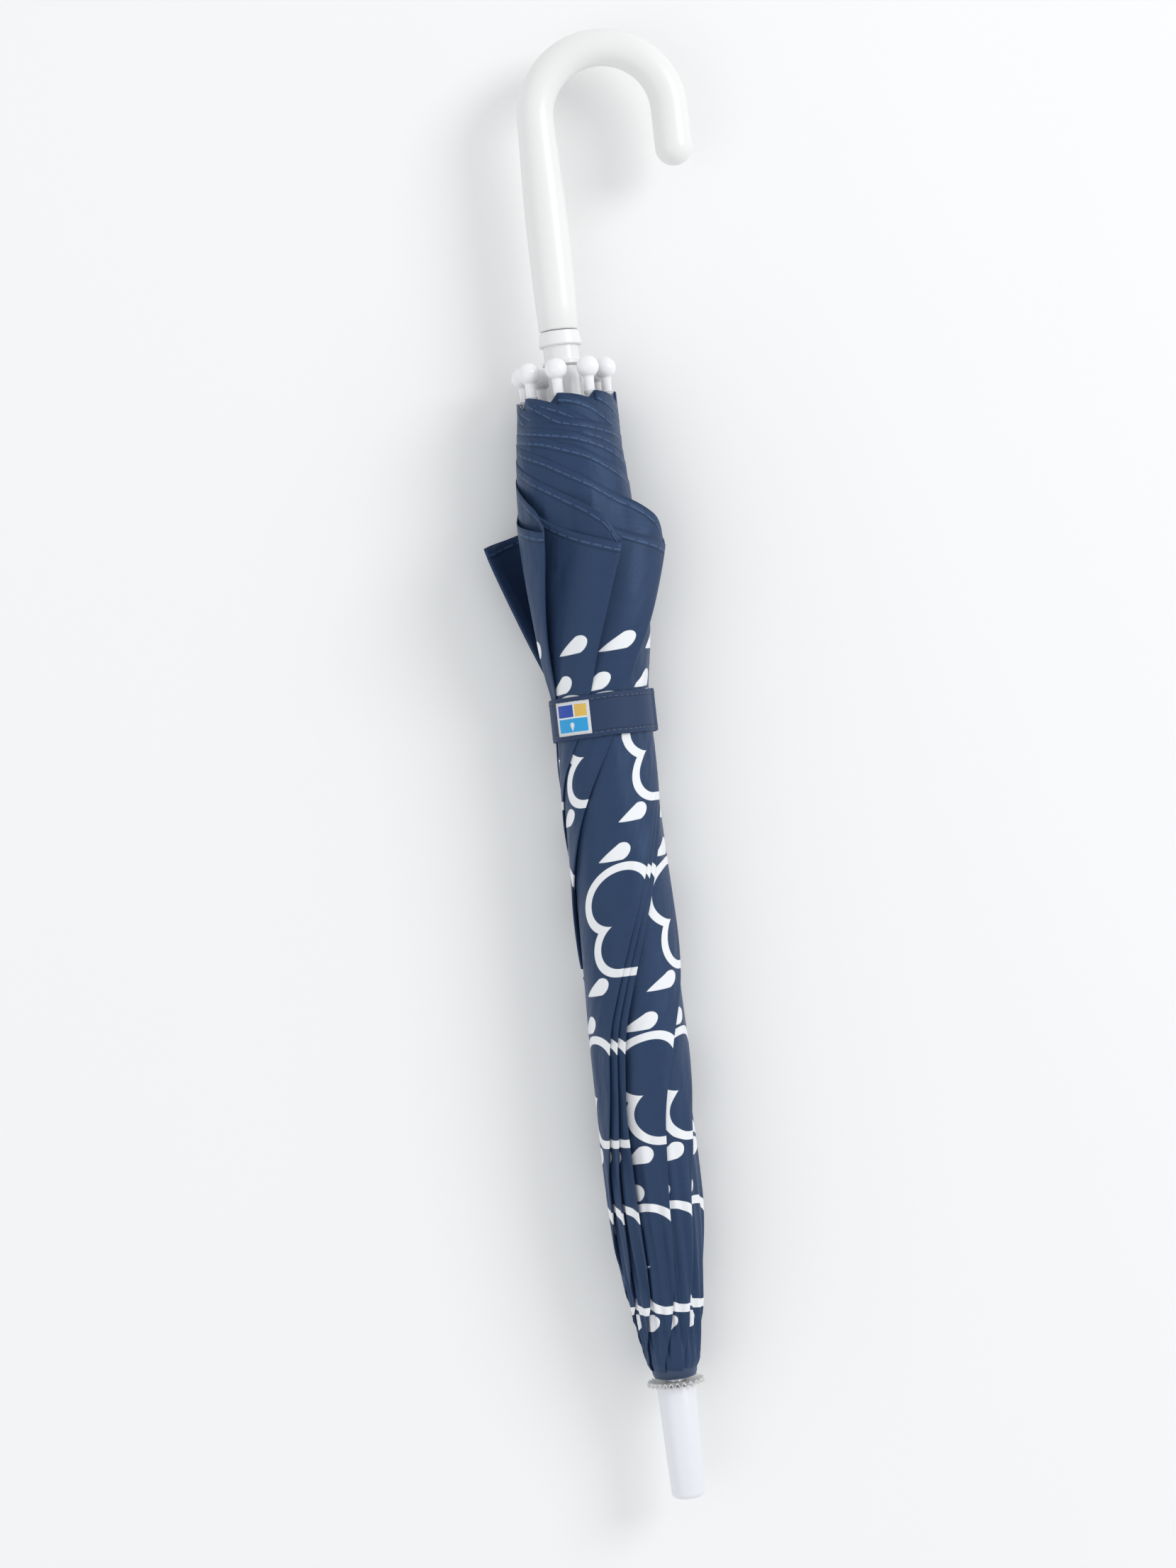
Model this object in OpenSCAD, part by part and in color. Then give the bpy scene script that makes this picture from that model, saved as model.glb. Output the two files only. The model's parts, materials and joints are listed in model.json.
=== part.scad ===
// Children's stick umbrella, closed, rolled and strapped, lying on its side.
// Millimetres. +Y runs up the shaft from the ferrule to the crook, +X is the side
// that the crook opens to, and +Z is up. The origin is the flat end of the ferrule.

/* [Overall] */
// Length from the ferrule's end to the top of the crook
total_length = 660; // [620:5:800]
// Rib from its crown pivot to the middle of its ball tip
rib_length = 444; // [410:2:540]
// Distance from the ferrule's end to the ribs' crown pivots
crown_height = 64; // [60:1:90]
// Angle of the ribs from the shaft when the umbrella is open
open_angle = 65; // [55:1:75]

/* [Shaft] */
// Outer diameter of the steel tube
shaft_d = 8; // [7:0.5:10]
// Wall of the tube
shaft_wall = 0.8; // [0.5:0.1:1.2]
// Depth of the tube in the handle
shaft_in_handle = 45; // [30:1:60]
// Radial gap of the runner on the shaft
runner_gap = 0.1; // [0.05:0.01:0.2]
// Gap between pieces that are fixed to each other
fit_gap = 0.05; // [0.02:0.01:0.1]
// Gap between pieces that move past each other
free_gap = 0.3; // [0.2:0.05:0.5]

/* [Handle] */
// Diameter of the grip where it meets the runner
grip_bottom_d = 17.8; // [15:0.2:22]
// Diameter of the grip at its fullest
grip_d = 19; // [16:0.2:24]
// Diameter of the crook
crook_d = 16.6; // [14:0.2:20]
// Radius of the crook's centre line
crook_r = 30.2; // [26:0.2:36]
// Straight end of the crook past its half circle
crook_tail = 18; // [8:1:30]

/* [Ferrule] */
// Length of the ferrule cap
ferrule_length = 50.8; // [35:0.2:54]
// Diameter of the ferrule at its end
ferrule_end_d = 15; // [12:0.2:18]
// Diameter of the ferrule beside the canopy
ferrule_top_d = 18.6; // [15:0.2:22]
// Fillet round the ferrule's end
ferrule_fillet = 2.6; // [1:0.2:4]
// Solid plastic between the ferrule's end and its bore
ferrule_floor = 13.6; // [6:0.2:20]
// Diameter of the ruffled washer
washer_d = 26; // [22:0.5:32]
// Thickness of the ruffled washer
washer_t = 2.8; // [1.5:0.1:3]
// Number of ruffles round the washer
washer_ruffles = 24; // [16:1:32]

/* [Ribs] */
// Radius of the circle of rib and stretcher pivots
pivot_r = 7.5; // [7:0.1:9]
// Distance of the ball tips from the shaft when closed
tip_circle_r = 19; // [16:0.5:20]
// Angle of the first rib from straight up
first_rib = -10; // [-22:1:22]
// Length of a stretcher, and distance of its rivet from the crown pivot
stretcher_length = 206; // [190:1:215]
// Width of a rib's channel
rib_w = 3.2; // [3:0.1:4]
// Depth of a rib's channel
rib_depth = 3.4; // [3:0.1:4]
// Sheet thickness of the ribs' channels
rib_sheet = 0.5; // [0.3:0.05:0.6]
// Thickness of the flattened pivot tongues
tongue_t = 1.4; // [1:0.1:1.6]
// Diameter of the ring wire that the ribs turn on
ring_wire = 1; // [0.8:0.1:1.2]
// Diameter of the rivets between ribs and stretchers
rivet_d = 1.2; // [1:0.1:1.4]

/* [Tips] */
// Diameter of a ball tip
ball_d = 10; // [8:0.5:10]
// Diameter of a tip's neck
neck_d = 4.6; // [4:0.1:5]
// Length of a tip from the ball's middle to the end of its neck
tip_reach = 20; // [16:1:26]

/* [Runner] */
// Length of the runner from its pivots to the foot of the handle
runner_length = 50.6; // [40:0.5:70]
// Diameter of the runner's sleeve
sleeve_d = 14; // [12:0.5:15]
// Diameter of the thumb flange
flange_d = 19.5; // [17:0.5:24]
// Height of the thumb flange
flange_h = 6.5; // [4:0.5:10]
// Diameter of the neck under the flange
runner_neck_d = 16; // [14:0.5:17]
// Diameter of the bead below the neck
bead_d = 18; // [16:0.5:20]

/* [Canopy] */
// Outer radius of the rolled cloth along most of its length
roll_r = 24.6; // [23:0.2:27]
// Outer radius of the rolled cloth under the strap
waist_r = 22; // [21:0.2:22.4]
// Outer radius of the flaps beside the strap, one value for each panel
flap_r = [33, 36, 38, 34, 34, 40, 41, 36];
// Thickness of the rolled cloth's layers
cloth_t = 1.4; // [0.8:0.1:1.6]
// Depth below the shaft at which the roll is flattened by its weight
sit_depth = 23.8; // [23:0.1:26]

/* [Strap] */
// Width of the closing strap
strap_w = 19; // [12:0.5:25]
// Thickness of the closing strap
strap_t = 0.8; // [0.5:0.1:1.2]
// Distance of the strap's middle from the ferrule's end
strap_height = 353; // [345:1:362]
// Length of the woven label along the strap
label_l = 18; // [10:0.5:24]
// Width of the woven label
label_w = 15; // [8:0.5:17]

/* [Hidden] */
$fn = 64;
rib_count = 8;
rib_step = 360 / rib_count;
RIBS = [1 : rib_count];
function numbered(name) = [for (k = RIBS) str(name, k)];

shaft_r = shaft_d / 2;
bore_r = shaft_r - shaft_wall;

// Each rib leans out a little when closed, so the triangle of rib, stretcher and
// shaft stays isosceles and the runner slides straight along the shaft.
rib_lean = asin((tip_circle_r - pivot_r) / rib_length);
joint_r = pivot_r + stretcher_length * sin(rib_lean);
joint_height = crown_height + stretcher_length * cos(rib_lean);
runner_pivot = crown_height + 2 * stretcher_length * cos(rib_lean);
runner_travel = 2 * stretcher_length * (cos(rib_lean) - cos(open_angle));
handle_foot = runner_pivot + runner_length + 0.5;
crook_height = total_length - crook_r - crook_d / 2;

// Crown and runner notches: slotted collars with a groove for the ring wire
notch_r = pivot_r + 2.3;
notch_h = 8;
hub_r = pivot_r - 1.9;
slot_w = tongue_t + 0.5;
eye_r = 1.3;
tongue_out = 1.6;

// Parts of a rib: tongue, channel and round end in the tip
channel_start = 9;
pin_d = 2.4;
tip_foot = rib_length - tip_reach;
channel_in = -eye_r;
channel_out = channel_in + rib_depth;
pin_into_tip = 12;

// A stretcher is a flat blade inside the rib's channel, then a channel of its own
blade_depth = 2.4;
blade_gap = 0.4;
blade_overlap = 4;
blade_l = blade_overlap + (2 * eye_r + blade_gap) / sin(2 * rib_lean);

// Catches: sprung leaves in the shaft, whose teeth fit the runner's window
tooth_w = 1.6;
tooth_l = 6;
tooth_out = 5.6;
leaf_t = 0.6;
leaf_x = 1.6;
leaf_l = 34;
window_w = 3;
catch_height = runner_pivot + 19;
window_l = tooth_l + 3;
stop_pin_d = 1.6;
stop_height = runner_pivot - runner_travel - notch_h / 2 - stop_pin_d / 2 - free_gap;
crown_pin_d = 1.6;
crown_pin_height = crown_height + 9;

washer_height = ferrule_length + 0.3;
cloth_centre = washer_height + washer_t + 0.3;
cloth_hole_r = shaft_r + free_gap;
crown_foot = cloth_centre + 1 + 0.3;
hem_height = crown_height + rib_length - 11;
hem_r = max(tip_circle_r + 3.4, waist_r);
crown_cover_r = notch_r + 0.4 + cloth_t;

strap_in = waist_r + free_gap;
strap_lap = [95, 150];
patch_t = 0.4;
patch_trim = 6;
label_t = 0.4;
label_angle = -35;

// Turns a piece modelled upright, with Z up the shaft, into the lying umbrella's frame.
module lay() {
    rotate([-90, 0, 0]) children();
}

// An angle from straight up, towards the crook's side, as an upright piece needs it
function round_shaft(angle) = angle - 90;
function rib_angle(k) = round_shaft(first_rib + (k - 1) * rib_step);

// Places a piece at rib k: X points away from the shaft and Z along the rib.
module on_rib(k) {
    lay() rotate([0, 0, rib_angle(k)]) translate([pivot_r, 0, crown_height])
        rotate([0, rib_lean, 0]) children();
}

// Places a piece at stretcher k: Z runs from its rivet to the runner's pivot.
module on_stretcher(k) {
    lay() rotate([0, 0, rib_angle(k)]) translate([joint_r, 0, joint_height])
        rotate([0, -rib_lean, 0]) children();
}

// A cylinder along Y, centred, for eyes, rivets and their holes
module cross_pin(r, l) {
    rotate([90, 0, 0]) cylinder(r = r, h = l, center = true);
}

module ring(r, wire_r) {
    rotate_extrude() translate([r, 0]) circle(r = wire_r);
}

// Open channel section, its mouth towards the shaft
module channel_section(w, mouth, web) {
    difference() {
        translate([mouth, -w / 2]) square([web - mouth, w]);
        translate([mouth - 1, rib_sheet - w / 2])
            square([web - rib_sheet - mouth + 1, w - 2 * rib_sheet]);
    }
}

// Slotted collar round the shaft, with a groove for the ring wire
module notch_slots() {
    for (k = RIBS) rotate([0, 0, rib_angle(k)])
        translate([hub_r, -slot_w / 2, -notch_h / 2 - 1])
            cube([notch_r, slot_w, notch_h + 2]);
    rotate_extrude()
        translate([pivot_r - ring_wire / 2 - fit_gap, -ring_wire / 2 - fit_gap])
            square([notch_r, ring_wire + 2 * fit_gap]);
}

// ---- Shaft and what is fixed to it ----

module shaft() {
    start = ferrule_floor + 0.4;
    color("gainsboro") lay() difference() {
        translate([0, 0, start])
            cylinder(r = shaft_r, h = handle_foot + shaft_in_handle - start);
        translate([0, 0, start - 1])
            cylinder(r = bore_r, h = handle_foot + shaft_in_handle - start + 2);
        for (h = [catch_height, catch_height - runner_travel])
            translate([0, -tooth_w / 2 - free_gap, h - tooth_l / 2 - 1])
                cube([shaft_r + 1, tooth_w + 2 * free_gap, tooth_l + 2]);
        translate([0, 0, stop_height]) cross_pin(stop_pin_d / 2 + fit_gap, shaft_d + 2);
        translate([0, 0, crown_pin_height])
            cross_pin(crown_pin_d / 2 + fit_gap, shaft_d + 2);
    }
}

module handle() {
    edge = 0.8;
    color("ghostwhite") lay() {
        difference() {
            rotate_extrude() polygon([
                [0, handle_foot], [grip_bottom_d / 2 - edge, handle_foot],
                [grip_bottom_d / 2, handle_foot + edge],
                [grip_d / 2, (handle_foot + crook_height) / 2],
                [crook_d / 2, crook_height], [0, crook_height]]);
            translate([0, 0, handle_foot - 1])
                cylinder(r = shaft_r + fit_gap, h = shaft_in_handle + 1.5);
        }
        translate([crook_r, 0, crook_height]) rotate([90, 0, 0])
            rotate_extrude(angle = 180) translate([crook_r, 0]) circle(d = crook_d);
        translate([2 * crook_r, 0, crook_height - crook_tail])
            cylinder(d = crook_d, h = crook_tail);
        translate([2 * crook_r, 0, crook_height - crook_tail]) sphere(d = crook_d);
    }
}

module ferrule() {
    end_r = ferrule_end_d / 2;
    color("lavender") lay() difference() {
        union() {
            rotate_extrude() polygon([
                [0, 0], [end_r - ferrule_fillet, 0],
                for (a = [-75 : 15 : 0])
                    [end_r - ferrule_fillet * (1 - cos(a)), ferrule_fillet * (1 + sin(a))],
                [ferrule_top_d / 2, ferrule_length], [0, ferrule_length]]);
        }
        translate([0, 0, ferrule_floor])
            cylinder(r = shaft_r + fit_gap, h = ferrule_length);
    }
}

module crown_washer() {
    ruffle = 1.1;
    color("aliceblue", 0.7) lay() translate([0, 0, washer_height])
        linear_extrude(washer_t) difference() {
            circle(d = washer_d);
            circle(r = shaft_r + fit_gap);
            for (i = [1 : washer_ruffles]) rotate([0, 0, i * 360 / washer_ruffles])
                translate([washer_d / 2 + 0.4, 0]) circle(r = ruffle, $fn = 16);
        }
}

module crown() {
    color("dimgray") lay() difference() {
        union() {
            translate([0, 0, crown_foot]) cylinder(r = hub_r, h = crown_pin_height + 3 - crown_foot);
            translate([0, 0, crown_height - notch_h / 2]) cylinder(r = notch_r, h = notch_h);
        }
        translate([0, 0, crown_height]) notch_slots();
        translate([0, 0, crown_foot - 1])
            cylinder(r = shaft_r + fit_gap, h = crown_pin_height + 6 - crown_foot);
        translate([0, 0, crown_pin_height])
            cross_pin(crown_pin_d / 2 + fit_gap, 2 * hub_r + 2);
    }
}

module crown_ring() {
    color("silver") lay() translate([0, 0, crown_height]) ring(pivot_r, ring_wire / 2);
}

module crown_pin() {
    color("silver") lay() translate([0, 0, crown_pin_height])
        cross_pin(crown_pin_d / 2, 2 * hub_r - 0.4);
}

module stop_pin() {
    color("silver") lay() translate([0, 0, stop_height])
        cross_pin(stop_pin_d / 2, 2 * hub_r - 0.4);
}

// ---- Catches that hold the runner ----

// A leaf with its tooth at height h. The square side of the tooth faces the handle when
// facing is 1, and the crown when it is -1.
module catch_leaf(h, facing) {
    half = tooth_l / 2;
    land = 1.2;
    outer_x = leaf_x + leaf_t;
    tooth = facing > 0 ? [[tooth_out, half], [tooth_out, half - land]]
                       : [[tooth_out, land - half], [tooth_out, -half]];
    color("silver") lay() translate([0, tooth_w / 2, h]) rotate([90, 0, 0])
        linear_extrude(tooth_w) polygon(concat(
            [[leaf_x, -half], [leaf_x, leaf_l - half - leaf_t],
             [0.3 - bore_r, leaf_l - half - leaf_t], [0.3 - bore_r, leaf_l - half],
             [outer_x, leaf_l - half], [outer_x, half]],
            tooth, [[outer_x, -half]]));
}

module top_catch() {
    catch_leaf(catch_height - runner_travel, -1);
}

module bottom_catch() {
    catch_leaf(catch_height, 1);
}

// ---- Runner ----

module runner() {
    top = runner_pivot + runner_length;
    under = top - flange_h;
    bead = under - 8.5;
    color("ghostwhite") lay() difference() {
        union() {
            translate([0, 0, runner_pivot - notch_h / 2]) cylinder(r = hub_r, h = notch_h + 2);
            difference() {
                translate([0, 0, runner_pivot - notch_h / 2])
                    cylinder(r = notch_r, h = notch_h);
                translate([0, 0, runner_pivot]) notch_slots();
            }
            rotate_extrude() polygon([
                [0, runner_pivot + notch_h / 2], [sleeve_d / 2, runner_pivot + notch_h / 2],
                [sleeve_d / 2, bead - 1], [bead_d / 2, bead], [bead_d / 2, bead + 1.4],
                [runner_neck_d / 2, bead + 2], [runner_neck_d / 2, under],
                [flange_d / 2 - 0.4, under], [flange_d / 2, under + 0.6],
                [grip_bottom_d / 2, top - 0.4], [grip_bottom_d / 2 - 0.4, top], [0, top]]);
        }
        translate([0, 0, runner_pivot - notch_h])
            cylinder(r = shaft_r + runner_gap, h = runner_length + 2 * notch_h);
        translate([0, -window_w / 2, catch_height - window_l / 2])
            cube([sleeve_d, window_w, window_l]);
    }
}

module runner_ring() {
    color("silver") lay() translate([0, 0, runner_pivot]) ring(pivot_r, ring_wire / 2);
}

// ---- Ribs, stretchers, rivets and tips ----

module rib(k) {
    tongue_l = channel_start + 6;
    color("silver") on_rib(k) difference() {
        union() {
            cross_pin(eye_r, tongue_t);
            translate([-eye_r, -tongue_t / 2, 0])
                cube([eye_r + tongue_out, tongue_t, tongue_l]);
            translate([0, 0, channel_start]) linear_extrude(tip_foot - channel_start)
                channel_section(rib_w, channel_in, channel_out);
            translate([0, 0, tip_foot - 6]) cylinder(d = pin_d, h = 6 + pin_into_tip);
        }
        cross_pin(ring_wire / 2 + runner_gap, tongue_t + 1);
        translate([0, 0, stretcher_length]) cross_pin(rivet_d / 2 + fit_gap, rib_w + 1);
    }
}

module stretcher(k) {
    color("silver") on_stretcher(k) difference() {
        union() {
            for (end = [0, stretcher_length]) translate([0, 0, end]) cross_pin(eye_r, tongue_t);
            translate([-blade_depth / 2, -tongue_t / 2, 0])
                cube([blade_depth, tongue_t, blade_l]);
            translate([0, 0, blade_l - blade_overlap])
                linear_extrude(stretcher_length - channel_start - blade_l + blade_overlap)
                    channel_section(rib_w - 0.2, -eye_r, eye_r);
            translate([-blade_depth / 2, -tongue_t / 2, stretcher_length - channel_start - 6])
                cube([blade_depth, tongue_t, channel_start + 6]);
        }
        cross_pin(rivet_d / 2 + fit_gap, tongue_t + 1);
        translate([0, 0, stretcher_length]) cross_pin(ring_wire / 2 + runner_gap, tongue_t + 1);
    }
}

module rivet(k) {
    head_t = 0.4;
    color("silver") on_rib(k) translate([0, 0, stretcher_length]) {
        cross_pin(rivet_d / 2, rib_w + 2 * head_t);
        for (side = [-1, 1]) translate([0, side * (rib_w + head_t + 0.02) / 2, 0])
            cross_pin(rivet_d * 0.85, head_t);
    }
}

module tip(k) {
    thread_hole = 0.8;
    color("white") on_rib(k) difference() {
        union() {
            translate([0, 0, rib_length]) sphere(d = ball_d);
            translate([0, 0, tip_foot + fit_gap])
                cylinder(d = neck_d, h = tip_reach - ball_d / 4);
        }
        translate([0, 0, tip_foot - 1]) cylinder(d = pin_d + 2 * fit_gap, h = pin_into_tip + 1.5);
        translate([0, 0, tip_foot + pin_into_tip + 1.6]) cross_pin(thread_hole / 2, ball_d);
    }
}

// ---- Rolled canopy ----

// Outer outline of the roll for panel k, from the crown to the hem
function roll_outline(k) = [
    [crown_cover_r, crown_foot - 0.4], [crown_cover_r + 0.6, crown_height + 4],
    [crown_cover_r + 5.5, crown_height + 26], [crown_cover_r + 8.5, crown_height + 46],
    [roll_r - 1.2, crown_height + 68], [roll_r, crown_height + 100],
    [roll_r, strap_height - 95], [roll_r - 0.9, strap_height - 40],
    [waist_r + 0.8, strap_height - 17], [waist_r, strap_height - 12],
    [waist_r, strap_height + 11], [waist_r + 0.7, strap_height + 15],
    [(roll_r + flap_r[k - 1]) / 2, strap_height + 45], [flap_r[k - 1], hem_height - 70],
    [flap_r[k - 1] - 1.5, hem_height - 64], [roll_r + 3, hem_height - 48],
    [roll_r, hem_height - 30], [hem_r, hem_height]];

// Keeps what lies above a plane at this depth under the shaft
module above(depth) {
    reach = 2 * crook_r + roll_r;
    intersection() {
        children();
        translate([-reach, depth - 2 * reach, 0]) cube([2 * reach, 2 * reach, total_length]);
    }
}

module canopy_panel(k) {
    outline = roll_outline(k);
    inside = [for (p = outline) p - [cloth_t, 0]];
    seam_gap = 0.8;
    over = 5;
    color("midnightblue") lay() difference() {
        above(sit_depth) rotate([0, 0, rib_angle(k) + seam_gap / 2])
            rotate_extrude(angle = rib_step - seam_gap)
                polygon(concat(
                    [[cloth_hole_r, cloth_centre], [crown_cover_r - 0.6, cloth_centre]],
                    outline, [[cloth_hole_r, hem_height]]));
        above(sit_depth - cloth_t) rotate([0, 0, rib_angle(k) - over])
            rotate_extrude(angle = rib_step + 2 * over)
                polygon(concat(
                    [[0, cloth_centre + 1], [crown_cover_r - cloth_t, cloth_centre + 1]],
                    inside, [[hem_r - cloth_t, hem_height + 1], [0, hem_height + 1]]));
    }
}

// ---- Closing strap ----

// A piece bent round the roll: from one angle to another, from radius r outwards
module bent(from, to, r, t, w) {
    rotate([0, 0, round_shaft(from)]) rotate_extrude(angle = to - from)
        translate([r, -w / 2]) square([t, w]);
}

module strap() {
    step = 2 * patch_t + strap_t;
    color("midnightblue") lay() translate([0, 0, strap_height]) {
        bent(strap_lap[0], strap_lap[0] + 352, strap_in, strap_t, strap_w);
        bent(strap_lap[0] - 4, strap_lap[0], strap_in, strap_t + step, strap_w);
        bent(strap_lap[0] - 4, strap_lap[1], strap_in + step, strap_t, strap_w);
    }
}

module strap_loop_patch() {
    color("navy") lay() translate([0, 0, strap_height])
        bent(strap_lap[0] + 4, strap_lap[1] - 2, strap_in + strap_t, patch_t,
             strap_w - patch_trim);
}

module strap_hook_patch() {
    color("navy") lay() translate([0, 0, strap_height])
        bent(strap_lap[0] + 4, strap_lap[1] - 2, strap_in + strap_t + patch_t, patch_t,
             strap_w - patch_trim);
}

module strap_label() {
    r = strap_in + strap_t;
    half = label_l / r * 90 / PI;
    color("lightskyblue") lay() translate([0, 0, strap_height])
        bent(label_angle - half, label_angle + half, r, label_t, label_w);
}

shaft();
handle();
ferrule();
crown_washer();
crown();
crown_ring();
crown_pin();
stop_pin();
top_catch();
bottom_catch();
runner();
runner_ring();
strap();
strap_hook_patch();
strap_loop_patch();
strap_label();
for (k = RIBS) {
    rib(k);
    stretcher(k);
    rivet(k);
    tip(k);
    canopy_panel(k);
}
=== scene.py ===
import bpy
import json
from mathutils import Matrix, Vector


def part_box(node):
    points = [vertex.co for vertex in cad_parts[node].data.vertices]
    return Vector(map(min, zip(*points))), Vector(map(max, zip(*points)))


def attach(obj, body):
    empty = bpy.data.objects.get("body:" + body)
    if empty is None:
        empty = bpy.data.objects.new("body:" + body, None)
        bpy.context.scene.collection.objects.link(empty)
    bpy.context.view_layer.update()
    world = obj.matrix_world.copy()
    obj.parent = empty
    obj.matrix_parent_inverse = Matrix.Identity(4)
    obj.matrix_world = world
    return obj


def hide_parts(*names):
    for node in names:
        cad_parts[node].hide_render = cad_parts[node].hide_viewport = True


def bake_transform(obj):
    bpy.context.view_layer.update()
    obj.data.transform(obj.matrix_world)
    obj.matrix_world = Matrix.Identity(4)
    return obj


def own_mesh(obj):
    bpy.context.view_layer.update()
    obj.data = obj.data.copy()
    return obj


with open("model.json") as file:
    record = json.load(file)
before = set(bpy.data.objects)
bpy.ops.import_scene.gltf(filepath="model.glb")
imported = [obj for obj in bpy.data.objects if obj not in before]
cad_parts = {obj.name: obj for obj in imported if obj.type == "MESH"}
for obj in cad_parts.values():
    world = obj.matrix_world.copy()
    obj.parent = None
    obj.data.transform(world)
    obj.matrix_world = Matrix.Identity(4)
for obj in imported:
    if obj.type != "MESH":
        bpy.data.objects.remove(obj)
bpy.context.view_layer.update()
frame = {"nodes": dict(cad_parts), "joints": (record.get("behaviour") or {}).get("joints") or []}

import json
import math

import bmesh
import bpy
import numpy as np
from mathutils import Matrix, Vector


# ---- Floor ----
# Plain off-white boards seen only as an even pale ground. The umbrella lies on it on the
# underside of its rolled cloth.

class Wire:
    """One output of a material's node, which sums and products treat as a number."""

    def __init__(self, tree, socket):
        self.tree = tree
        self.socket = socket

    def node(self, kind, settings, values, out=0):
        """Adds a node: its settings first, then the numbers or wires of its sockets."""
        made = self.tree.nodes.new(kind)
        for name, setting in settings.items():
            setattr(made, name, setting)
        for name, value in values.items():
            if isinstance(value, Wire):
                self.tree.links.new(value.socket, made.inputs[name])
            else:
                made.inputs[name].default_value = value
        return Wire(self.tree, made.outputs[out])

    def math(self, operation, *values):
        return self.node("ShaderNodeMath", {"operation": operation},
                         dict(enumerate((self,) + values)))

    def __add__(self, other):
        return self.math("ADD", other)

    def __sub__(self, other):
        return self.math("SUBTRACT", other)

    def __rsub__(self, other):
        return self.node("ShaderNodeMath", {"operation": "SUBTRACT"}, {0: other, 1: self})

    def __mul__(self, other):
        return self.math("MULTIPLY", other)

    def __truediv__(self, other):
        return self.math("DIVIDE", other)

    __radd__ = __add__
    __rmul__ = __mul__

    def above(self, edge, soft):
        """1 where this is above the edge, 0 below, with a soft step between."""
        return self.node("ShaderNodeMapRange", {"interpolation_type": "SMOOTHSTEP"},
                         {"Value": self, "From Min": edge - soft, "From Max": edge + soft})

    def mix(self, first, second):
        """The first colour where this is 0 and the second where it is 1."""
        return self.node("ShaderNodeMix", {"data_type": "RGBA"},
                         {"Factor": self, 6: first, 7: second}, out=2)

    def noise(self, scale, detail=3.0, stretch=(1, 1, 1)):
        """Soft noise over the piece, from a wire of its coordinates."""
        spread = self.node("ShaderNodeMapping", {}, {"Vector": self, "Scale": stretch})
        return self.node("ShaderNodeTexNoise", {},
                         {"Vector": spread, "Scale": scale, "Detail": detail})

    def bump(self, depth, strength=1.0):
        """The surface's normal with this wire, in 0 to 1, raised by a depth in metres."""
        return self.node("ShaderNodeBump", {},
                         {"Height": self, "Distance": depth, "Strength": strength})


def new_finish(name, roughness, **fixed):
    """A material, its shader, and the wire of the piece's own coordinates."""
    material = bpy.data.materials.new(name)
    material.use_nodes = True
    tree = material.node_tree
    shader = tree.nodes["Principled BSDF"]
    shader.inputs["Roughness"].default_value = roughness
    for socket, value in fixed.items():
        shader.inputs[socket.replace("_", " ")].default_value = value
    place = tree.nodes.new("ShaderNodeTexCoord")
    return material, shader, Wire(tree, place.outputs["Object"])


def plug(shader, name, wire):
    wire.tree.links.new(wire.socket, shader.inputs[name])


FLOOR_HEIGHT = -0.0238
FLOOR_SIZE = 12.0
floor_mesh = bmesh.new()
bmesh.ops.create_grid(floor_mesh, x_segments=1, y_segments=1, size=FLOOR_SIZE / 2)
bmesh.ops.translate(floor_mesh, verts=floor_mesh.verts, vec=(0, 0, FLOOR_HEIGHT))
floor_data = bpy.data.meshes.new("floor")
floor_mesh.to_mesh(floor_data)
floor_mesh.free()
floor = bpy.data.objects.new("floor", floor_data)
bpy.context.scene.collection.objects.link(floor)
floor_paint, shader, place = new_finish("floor_paint", 0.6)
patches = place.noise(6.0, 4.0, (1, 0.2, 1))
plug(shader, "Base Color", patches.mix((0.905, 0.905, 0.90, 1), (0.93, 0.93, 0.925, 1)))
floor_data.materials.append(floor_paint)


# ---- Light and camera ----
# Soft daylight from the right over a bright room, and a camera straight above the
# umbrella, turned a little so that the handle leans to the left.

def add_light(name, size, power, place, aim):
    lamp = bpy.data.lights.new(name, "AREA")
    lamp.shape = "DISK"
    lamp.size = size
    lamp.energy = power
    light = bpy.data.objects.new(name, lamp)
    bpy.context.scene.collection.objects.link(light)
    light.location = place
    away = Vector(place) - Vector(aim)
    light.rotation_euler = away.to_track_quat("Z", "Y").to_euler()


MIDDLE = (0, 0.33, 0)
add_light("window", 1.3, 27, (2.1, 1.3, 1.6), MIDDLE)
add_light("room", 2.6, 9, (-1.6, -0.2, 2.2), MIDDLE)
world = bpy.data.worlds.new("room_light")
world.use_nodes = True
world.node_tree.nodes["Background"].inputs["Color"].default_value = (0.96, 0.98, 1, 1)
world.node_tree.nodes["Background"].inputs["Strength"].default_value = 0.77
bpy.context.scene.world = world
bpy.context.scene.view_settings.view_transform = "Standard"

CAMERA_HEIGHT = 1.5
CAMERA_TURN = -6.37
camera_data = bpy.data.cameras.new("camera")
camera_data.sensor_width = 36
camera_data.lens = 76.65
camera = bpy.data.objects.new("camera", camera_data)
bpy.context.scene.collection.objects.link(camera)
camera.location = (-0.0095, 0.3233, CAMERA_HEIGHT)
camera.rotation_euler = (0, 0, math.radians(CAMERA_TURN))
bpy.context.scene.camera = camera


# ---- Handle ----
# The crook handle is one piece of satin white plastic, moulded round the end of the
# shaft. It tapers to the foot, and its tail ends in a ball end.

def moulded(name, light, dark, roughness, grain=0.00001, **fixed):
    """Moulded plastic: faint flow marks, a fine grain and a few rubbed patches."""
    material, shader, place = new_finish(name, roughness, **fixed)
    flow = place.noise(28.0, 4.0, (1, 0.35, 1))
    plug(shader, "Base Color", flow.mix(dark, light))
    rubbed = place.noise(75.0, 5.0)
    plug(shader, "Roughness", roughness - 0.06 + rubbed * 0.12)
    skin = place.noise(1400.0, 2.0)
    plug(shader, "Normal", skin.bump(grain))
    return material


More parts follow.
